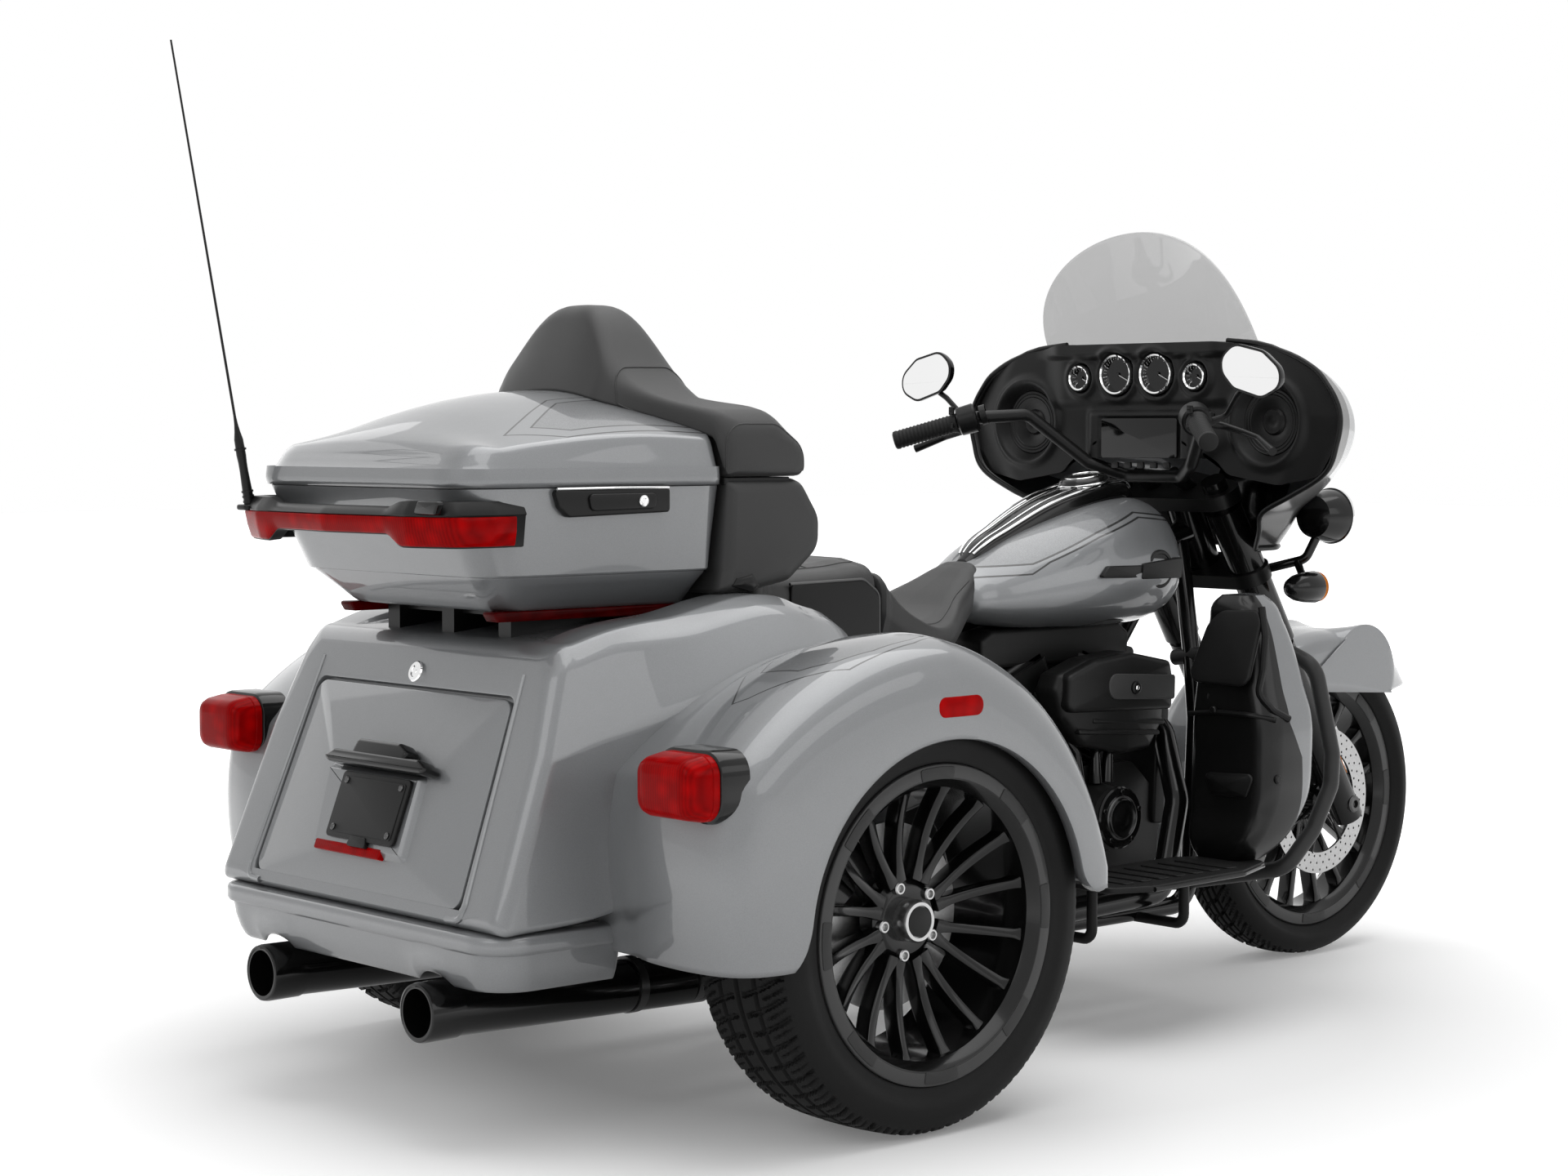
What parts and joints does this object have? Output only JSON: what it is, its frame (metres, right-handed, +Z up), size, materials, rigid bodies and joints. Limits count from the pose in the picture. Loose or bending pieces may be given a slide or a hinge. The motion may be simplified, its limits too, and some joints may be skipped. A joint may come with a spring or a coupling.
{
  "type": "motorized trike",
  "caption": "Three-wheeled touring motorcycle with a steered front fork, fork-mounted fairing, luggage body between the rear wheels and a lidded top case.",
  "frame": {"origin": "on the ground, under the middle of the bounding box", "axes": "+X forward, +Y to the rider's left, +Z up"},
  "size_m": [2.7852, 1.394, 1.6794],
  "materials": {
    "silver_paint": "silver-grey metallic, gloss",
    "black_metal": "satin black powder coat",
    "engine_black": "satin black over cast aluminium",
    "black_plastic": "moulded, slightly grained",
    "gloss_black": "gloss",
    "black_vinyl": "black seat vinyl, fine grain",
    "red_lens": "clear moulded lens",
    "tyre": "matt tread, satin sidewall",
    "wheel_black": "gloss black cast wheel",
    "brake_steel": "machined",
    "grip_rubber": "ribbed",
    "smoked_screen": "light smoke"
  },
  "bodies": {
    "chassis": {"frame": "black_metal", "rear_axle": "black_metal", "engine_case": "engine_black", "engine_cylinders": "engine_black", "air_cleaner": "black_plastic", "exhaust": "engine_black", "rear_body": "silver_paint", "rear_valance": "silver_paint", "rear_fender_right": "silver_paint", "rear_fender_left": "silver_paint", "tail_lamp_right": "red_lens", "tail_lamp_left": "red_lens", "side_reflector_right": "red_lens", "side_reflector_left": "red_lens", "top_case_body": "silver_paint", "top_case_lamp": "red_lens", "case_side_lamps": "red_lens", "top_case_latch": "black_plastic", "top_case_rack": "black_plastic", "antenna": "black_plastic", "backrest_lower_pad": "black_vinyl", "fuel_tank": "silver_paint", "tank_console": "gloss_black", "rider_seat": "black_vinyl", "passenger_seat": "black_vinyl", "side_cover_right": "black_plastic", "side_cover_left": "black_plastic", "lower_fairing_right": "silver_paint", "lower_fairing_left": "silver_paint", "footboard_right": "black_plastic", "footboard_left": "black_plastic", "engine_guard": "black_metal"},
    "front_fork": {"fork_legs": "black_metal", "fork_yokes": "black_metal", "fork_shrouds": "black_plastic", "handlebar": "black_metal", "hand_grips": "grip_rubber", "hand_controls": "black_plastic", "mirrors": "gloss_black", "headlamp": "gloss_black", "fairing_outer": "silver_paint", "fairing_inner": "black_plastic", "windshield": "smoked_screen", "front_lamps": "gloss_black", "front_fender": "silver_paint"},
    "front_wheel": {"front_tyre": "tyre", "front_rim": "wheel_black", "front_brake_discs": "brake_steel"},
    "rear_wheel_right": {"rear_tyre_right": "tyre", "rear_rim_right": "wheel_black", "rear_brake_disc_right": "brake_steel"},
    "rear_wheel_left": {"rear_tyre_left": "tyre", "rear_rim_left": "wheel_black", "rear_brake_disc_left": "brake_steel"},
    "luggage_door": {"luggage_door": "silver_paint", "number_plate": "black_plastic"},
    "top_case_lid": {"top_case_lid": "silver_paint", "backrest_upper_pad": "black_vinyl"},
    "lower_lid_right": {"lower_fairing_lid_right": "black_plastic"},
    "lower_lid_left": {"lower_fairing_lid_left": "black_plastic"}
  },
  "joints": [
    {"name": "steering", "type": "hinge", "parent": "chassis", "child": "front_fork", "pos_m": [0.7198, 0, 0.88], "axis": [-0.4384, 0, 0.8988], "range_deg": [-30, 30]},
    {"name": "front_wheel_spin", "type": "hinge", "parent": "front_fork", "child": "front_wheel", "pos_m": [1.049, 0, 0.3195], "axis": [0, 1, 0], "continuous": true},
    {"name": "rear_wheel_right_spin", "type": "hinge", "parent": "chassis", "child": "rear_wheel_right", "pos_m": [-0.626, -0.553, 0.3255], "axis": [0, 1, 0], "continuous": true},
    {"name": "rear_wheel_left_spin", "type": "hinge", "parent": "chassis", "child": "rear_wheel_left", "pos_m": [-0.626, 0.553, 0.3255], "axis": [0, 1, 0], "continuous": true},
    {"name": "luggage_door_hinge", "type": "hinge", "parent": "chassis", "child": "luggage_door", "pos_m": [-1.25548, 0, 0.36535], "axis": [0, -1, 0], "range_deg": [0, 100]},
    {"name": "top_case_lid_hinge", "type": "hinge", "parent": "chassis", "child": "top_case_lid", "pos_m": [-0.986, 0.293, 0.985], "axis": [-1, 0, 0], "range_deg": [0, 65]},
    {"name": "lower_lid_right_hinge", "type": "hinge", "parent": "chassis", "child": "lower_lid_right", "pos_m": [0.44109, -0.315, 0.62282], "axis": [0, -1, 0], "range_deg": [0, 60]},
    {"name": "lower_lid_left_hinge", "type": "hinge", "parent": "chassis", "child": "lower_lid_left", "pos_m": [0.44109, 0.315, 0.62282], "axis": [0, -1, 0], "range_deg": [0, 60]}
  ]
}
